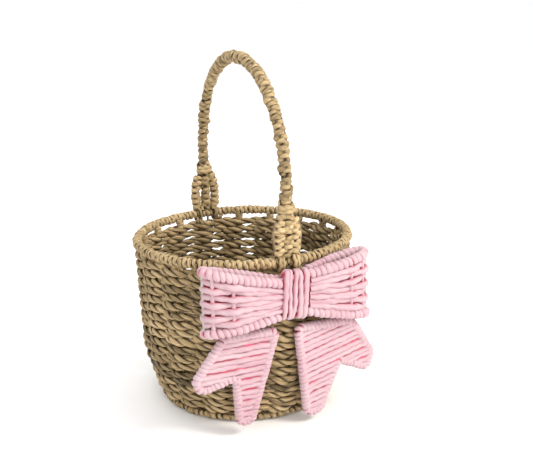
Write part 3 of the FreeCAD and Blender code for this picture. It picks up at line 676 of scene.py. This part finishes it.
def bowLoop(side, hand):
    edges = bow["edges"][side]
    paths = {edge: edgePath(hand, edges[edge]) for edge in edges}
    for edge, path in paths.items():
        core = resample(path, bow["step"])
        upright = np.tile([0, 0, 1.0], (len(core), 1))
        turns = len(core) * bow["step"] / bow["borderTurn"]
        reach = bow["border"] - bow["borderCord"] * bow["borderFlat"]
        points, away = windRound(core, upright, False, reach, turns, 18, 0.22)
        border = Strands()
        border.cord(tilted(points), turned(away), bow["borderCord"], bow["twist"]["border"], flat=bow["borderFlat"],
                    rough=0.09)
        place(border.build(f"bowBorder_{side}_{edge}", paperCord), "paper_cord", f"bow_{side}_{edge}_border")
    count = bow["points"]
    low, high = evenly(paths["bottom"], count), evenly(paths["top"], count)
    rise = unit(high - low)
    t = tangents((low + high) / 2, False)
    outward = unit(np.cross(t, rise)) * hand
    room = (np.linalg.norm(high - low, axis=1) - 2 * (bow["border"] - bow["tuck"])) / bow["strands"]
    reach = np.abs((low + high)[:, 0] / 2) / mm
    far = (reach - bow["start"]) / (reach.max() - bow["start"])
    plan = bow["start"] + far * (bow["end"] - bow["start"])
    panel = Strands()
    for k in range(bow["strands"]):
        height = bow["border"] - bow["tuck"] + room * (k + 0.5) + wander(count, 10, 0.5 * mm)
        over = (-1) ** k * bow["ripple"] * (1 - far)
        for stake, depth in zip(bow["stakes"], bow["over"]):
            near = np.exp(-((plan - stake) / bow["overWidth"]) ** 2)
            over = over + near * depth * (1 if (k + bow["stakes"].index(stake)) % 2 else -1)
        points = low + rise * height[:, None] + outward * (over * mm)[:, None]
        girth = np.minimum(bow["cord"], room * 0.42 + 0.95 * mm)
        panel.cord(tilted(points), turned(outward), girth, bow["twist"]["cord"], rough=0.08, groove=0.06)
    # upright cords that the strands pass before and behind
    for stake in bow["stakes"][1:]:
        for half in (slice(0, count // 2), slice(count // 2, count)):
            at = int(np.argmin(np.abs(plan[half] - stake))) + half.start
            post = low[at] + (high[at] - low[at]) * np.linspace(0.06, 0.94, bow["postPoints"])[:, None]
            facing = turned(np.tile(outward[at], (len(post), 1)))
            panel.cord(tilted(post), facing, bow["post"], bow["twist"]["post"])
    place(panel.build(f"bowLoop_{side}", paperCord), "paper_cord", f"bow_{side}_loop_panel")


bowLoop("left", -1)
bowLoop("right", 1)

knotLook = {
    # for each turn its place across, half thickness and slant
    "turns": [(-10.6, 2.55, 0.9), (-6.6, 1.9, -0.5), (-2.2, 2.3, 1.2), (3.0, 2.6, -0.8), (8.2, 2.75, 1.0)],
    "front": -127.1, "back": -112.8, "half": 23.0, "squareness": 3.4, "points": 90, "twist": 22 * mm,
    "levels": (-14.5, -8.6, -2.8, 2.8, 8.6, 14.5), "depths": (-121.0, -118.6), "reach": 11.8,
    "cord": 2.9 * mm, "cordPoints": 24, "cordTwist": 20 * mm,
}


def bowKnot():
    wraps, middle = Strands(), Strands()
    middleY = (knotLook["front"] + knotLook["back"]) / 2 * mm
    count, power = knotLook["points"], knotLook["squareness"]
    for x, radius, slant in knotLook["turns"]:
        turn = np.linspace(0, 2 * np.pi, count, endpoint=False)
        c, s = np.cos(turn), np.sin(turn)
        box = (np.abs(c) ** power + np.abs(s) ** power) ** (-1 / power)
        deep = (knotLook["back"] - knotLook["front"]) / 2 - radius
        tall = knotLook["half"] - radius
        points = np.stack([(x + slant * s) * mm, middleY + c * box * deep * mm, s * box * tall * mm], 1)
        points[:, 0] += wander(count, 9, 0.5 * mm, True)
        away = np.stack([0 * c, c, s], 1)
        wraps.cord(tilted(points), turned(away), radius * mm, knotLook["twist"], True, rough=0.09, groove=0.09)
    place(wraps.build("bowKnotWraps", paperCord), "paper_cord", "bow_knot_wraps")
    x = np.linspace(-knotLook["reach"], knotLook["reach"], knotLook["cordPoints"]) * mm
    for level in knotLook["levels"]:
        for y in knotLook["depths"]:
            points = np.stack([x, 0 * x + y * mm, level * mm + wander(len(x), 4, 0.6 * mm)], 1)
            middle.cord(tilted(points), np.tile([0, -1.0, 0], (len(x), 1)), knotLook["cord"], knotLook["cordTwist"])
    place(middle.build("bowKnotMiddle", paperCord), "paper_cord", "bow_knot_core")


bowKnot()
print("bow ready")

# Bow tails; a wound edge round each outline, filled with rows of cord

tails = {
    "left": {"outline": [(-17, 0), (-64, 0), (-91, -39), (-86, -48.5), (-53.5, -39.5), (-50.5, -86.5), (-40, -86.5)],
             "middle": [(-42, 0), (-53.5, -39.5)], "rowTilt": 1.5},
    "right": {"outline": [(5, -1), (62, -5), (86.5, -43), (82, -57.5), (50, -42.5), (30, -91), (18, -90.5)],
              "middle": [(33, -3), (50, -42.5)], "rowTilt": 12.0},
    "lean": 5.0, "turn": 5.0, "topHeight": 101.0 * mm, "depth": 114.6 * mm,
    "edge": 4.5 * mm, "edgeCord": 2.05 * mm, "edgeTurn": 4.1 * mm, "edgeFlat": 0.85,
    "cord": 2.75 * mm, "row": 5.5, "layer": 1.2 * mm, "bend": 4.7, "edgeStep": 1.0 * mm, "edgeTwist": 16 * mm,
    "firstRow": 3.5, "lastRow": 1.0, "shortest": 4, "rowStep": 1.6, "rowTwist": 18 * mm,
    "wireWidth": 4.5, "pinch": 0.75, "dive": 1.1 * mm,
}


def rounded(corners, bend):
    # closed outline with each corner cut by a short curve
    out = []
    corners = [np.array(c, float) for c in corners]
    for i, corner in enumerate(corners):
        before, after = corners[i - 1] - corner, corners[(i + 1) % len(corners)] - corner
        trim = min(bend, np.linalg.norm(before) * 0.45, np.linalg.norm(after) * 0.45)
        a, b = corner + unit(before) * trim, corner + unit(after) * trim
        for share in np.linspace(0, 1, 6):
            out.append((1 - share) ** 2 * a + 2 * share * (1 - share) * corner + share ** 2 * b)
    return np.array(out)


def rowSpans(corners, tilt, level):
    # where a sloping line crosses the outline, as pairs of points
    normal = np.array([-math.sin(tilt), math.cos(tilt)])
    crossings = []
    for i in range(len(corners)):
        a, b = np.array(corners[i - 1], float), np.array(corners[i], float)
        da, db = a @ normal - level, b @ normal - level
        if da * db < 0:
            crossings.append(a + (b - a) * da / (da - db))
    crossings.sort(key=lambda p: p[0])
    return [(crossings[i], crossings[i + 1]) for i in range(0, len(crossings) - 1, 2)]


def bowTail(side, hand):
    spot = tails[side]
    turn = np.array(Matrix.Translation((0, -tails["depth"], tails["topHeight"]))
                    @ Matrix.Rotation(math.radians(hand * tails["turn"]), 4, "Z")
                    @ Matrix.Rotation(math.radians(tails["lean"]), 4, "X"))
    weaving = Strands()
    outline = rounded(spot["outline"], tails["bend"])
    closedLine = np.vstack([outline, outline[:1]])
    loop = np.stack([closedLine[:, 0] * mm, 0 * closedLine[:, 0], closedLine[:, 1] * mm], 1)
    core = resample(loop, tails["edgeStep"])[:-1]
    front = np.tile([0, -1.0, 0], (len(core), 1))
    turns = round(len(core) * tails["edgeStep"] / tails["edgeTurn"])
    reach = tails["edge"] - tails["edgeCord"] * tails["edgeFlat"]
    points, away = windRound(core, front, True, reach, turns, 16, 0.2)
    weaving.cord(tilted(points, turn), turned(away, turn), tails["edgeCord"], tails["edgeTwist"], True,
                 flat=tails["edgeFlat"], rough=0.09, tint=0.1)
    tilt = math.radians(spot["rowTilt"])
    corners = np.array(spot["outline"], float)
    levels = corners @ np.array([-math.sin(tilt), math.cos(tilt)])
    wireTop, wireEnd = (np.array(p, float) for p in spot["middle"])
    rows = np.arange(levels.min() + tails["firstRow"], levels.max() - tails["lastRow"], tails["row"] / 2)
    for k, level in enumerate(rows):
        layer = -1 if k % 2 else 1
        weaveSide = 1 if k // 2 % 2 else -1
        for one, two in rowSpans(spot["outline"], tilt, level):
            span = np.linalg.norm(two - one)
            if span < tails["shortest"]:
                continue
            count = max(int(span / tails["rowStep"]), 6)
            share = np.linspace(-0.02, 1.02, count)
            flat = one + (two - one) * share[:, None]
            wireAt = np.interp(-flat[:, 1], [-wireTop[1], -wireEnd[1]], [wireTop[0], wireEnd[0]])
            nearWire = np.exp(-((flat[:, 0] - wireAt) / tails["wireWidth"]) ** 2)
            height = flat[:, 1] + weaveSide * tails["pinch"] * (nearWire - 0.5)
            depth = -layer * tails["layer"] - tails["dive"] * nearWire * weaveSide
            points = np.stack([flat[:, 0] * mm, depth, height * mm + wander(count, 5, 0.35 * mm)], 1)
            weaving.cord(tilted(points, turn), turned(np.tile([0, -float(layer), 0], (count, 1)), turn),
                         tails["cord"], tails["rowTwist"], rough=0.09, groove=0.06)
    place(weaving.build(f"bowTail_{side}", paperCord), "paper_cord", f"bow_{side}_tail_weave")


bowTail("left", -1)
bowTail("right", 1)
print("tails ready")

# Wires


def wireMaterial(name, colour, rust):
    material = bpy.data.materials.new(name)
    material.use_nodes = True
    tree = material.node_tree
    shader = tree.nodes["Principled BSDF"]
    slow = tree.nodes.new("ShaderNodeGroup")
    slow.node_tree = drift
    slow.inputs["Scale"].default_value = 220.0
    link(tree, rampNode(tree, slow.outputs["Drift"], [(0.35, colour), (0.65, rust)]), shader.inputs["Base Color"])
    bump = tree.nodes.new("ShaderNodeBump")
    bump.inputs["Distance"].default_value = 0.0002
    link(tree, slow.outputs["Drift"], bump.inputs["Height"])
    link(tree, bump.outputs[0], shader.inputs["Normal"])
    shader.inputs["Roughness"].default_value = 0.45
    shader.inputs["Metallic"].default_value = 0.4
    return material


finishes = {
    "frame_wire": wireMaterial("basketWire", (0.30, 0.21, 0.11), (0.19, 0.13, 0.07)),
    "bow_wire": wireMaterial("bowWire", (0.33, 0.36, 0.30), (0.45, 0.46, 0.40)),
    "tie_string": wireMaterial("tieString", (0.62, 0.58, 0.50), (0.72, 0.68, 0.6)),
}
for entry in frame["record"]["subparts"]:
    node = frame["nodes"].get(entry["node"])
    if node is not None and entry["material_slot"] in finishes:
        node.data.materials.clear()
        node.data.materials.append(finishes[entry["material_slot"]])

# Floor, light and camera

studio = {"floorHalf": 60, "floorColour": (0.96, 0.96, 0.96, 1), "floorRoughness": 0.9, "skyStrength": 1.04}
half = studio["floorHalf"]
floorMesh = bpy.data.meshes.new("floor")
floorMesh.from_pydata([(-half, -half, 0), (half, -half, 0), (half, half, 0), (-half, half, 0)], [], [(0, 1, 2, 3)])
floorMaterial = bpy.data.materials.new("paleFloor")
floorMaterial.use_nodes = True
floorShader = floorMaterial.node_tree.nodes["Principled BSDF"]
floorShader.inputs["Base Color"].default_value = studio["floorColour"]
floorShader.inputs["Roughness"].default_value = studio["floorRoughness"]
floorMesh.materials.append(floorMaterial)
floor = bpy.data.objects.new("floor", floorMesh)
bpy.context.scene.collection.objects.link(floor)

world = bpy.data.worlds.new("studio")
bpy.context.scene.world = world
world.use_nodes = True
sky = world.node_tree.nodes["Background"]
sky.inputs["Color"].default_value = (1.0, 1.0, 1.0, 1)
sky.inputs["Strength"].default_value = studio["skyStrength"]


def softbox(name, spot, aim, size, power, colour):
    light = bpy.data.lights.new(name, "AREA")
    light.shape = "DISK"
    light.size = size
    light.energy = power
    light.color = colour
    lamp = bpy.data.objects.new(name, light)
    lamp.location = spot
    lamp.rotation_euler = (Vector(aim) - Vector(spot)).to_track_quat("-Z", "Y").to_euler()
    bpy.context.scene.collection.objects.link(lamp)


softbox("keyLight", (1.1, -1.3, 1.5), (0, 0, 0.12), 0.7, 34, (1.0, 0.96, 0.9))
softbox("topLight", (-0.3, 0.3, 1.9), (0, 0, 0.1), 1.0, 8, (1.0, 1.0, 1.0))
softbox("lowLight", (-0.1, -1.7, 0.3), (0, 0, 0.08), 0.6, 7, (1.0, 0.97, 0.93))

shot = {"distance": 0.8319, "azimuth": -21.776, "height": 0.3875, "aimHeight": 0.15, "yaw": 1.589, "pitch": 0.577,
        "roll": -1.551, "lens": 58.64, "sensor": 36}
azimuth = math.radians(shot["azimuth"])
eye = Vector((math.sin(azimuth) * shot["distance"], -math.cos(azimuth) * shot["distance"], shot["height"]))
ahead = (Vector((0, 0, shot["aimHeight"])) - eye).normalized()
right = ahead.cross(Vector((0, 0, 1))).normalized()
above = right.cross(ahead)
yaw, pitch = math.radians(shot["yaw"]), math.radians(shot["pitch"])
ahead = (ahead + right * math.tan(yaw) + above * math.tan(pitch)).normalized()
right = ahead.cross(Vector((0, 0, 1))).normalized()
above = right.cross(ahead)
roll = math.radians(shot["roll"])
right, above = right * math.cos(roll) + above * math.sin(roll), above * math.cos(roll) - right * math.sin(roll)
lens = bpy.data.cameras.new("camera")
lens.lens = shot["lens"]
lens.sensor_width = shot["sensor"]
camera = bpy.data.objects.new("camera", lens)
camera.matrix_world = Matrix((
    (right.x, above.x, -ahead.x, eye.x), (right.y, above.y, -ahead.y, eye.y), (right.z, above.z, -ahead.z, eye.z),
    (0, 0, 0, 1)))
bpy.context.scene.collection.objects.link(camera)
bpy.context.scene.camera = camera
bpy.context.scene.view_settings.view_transform = "Standard"
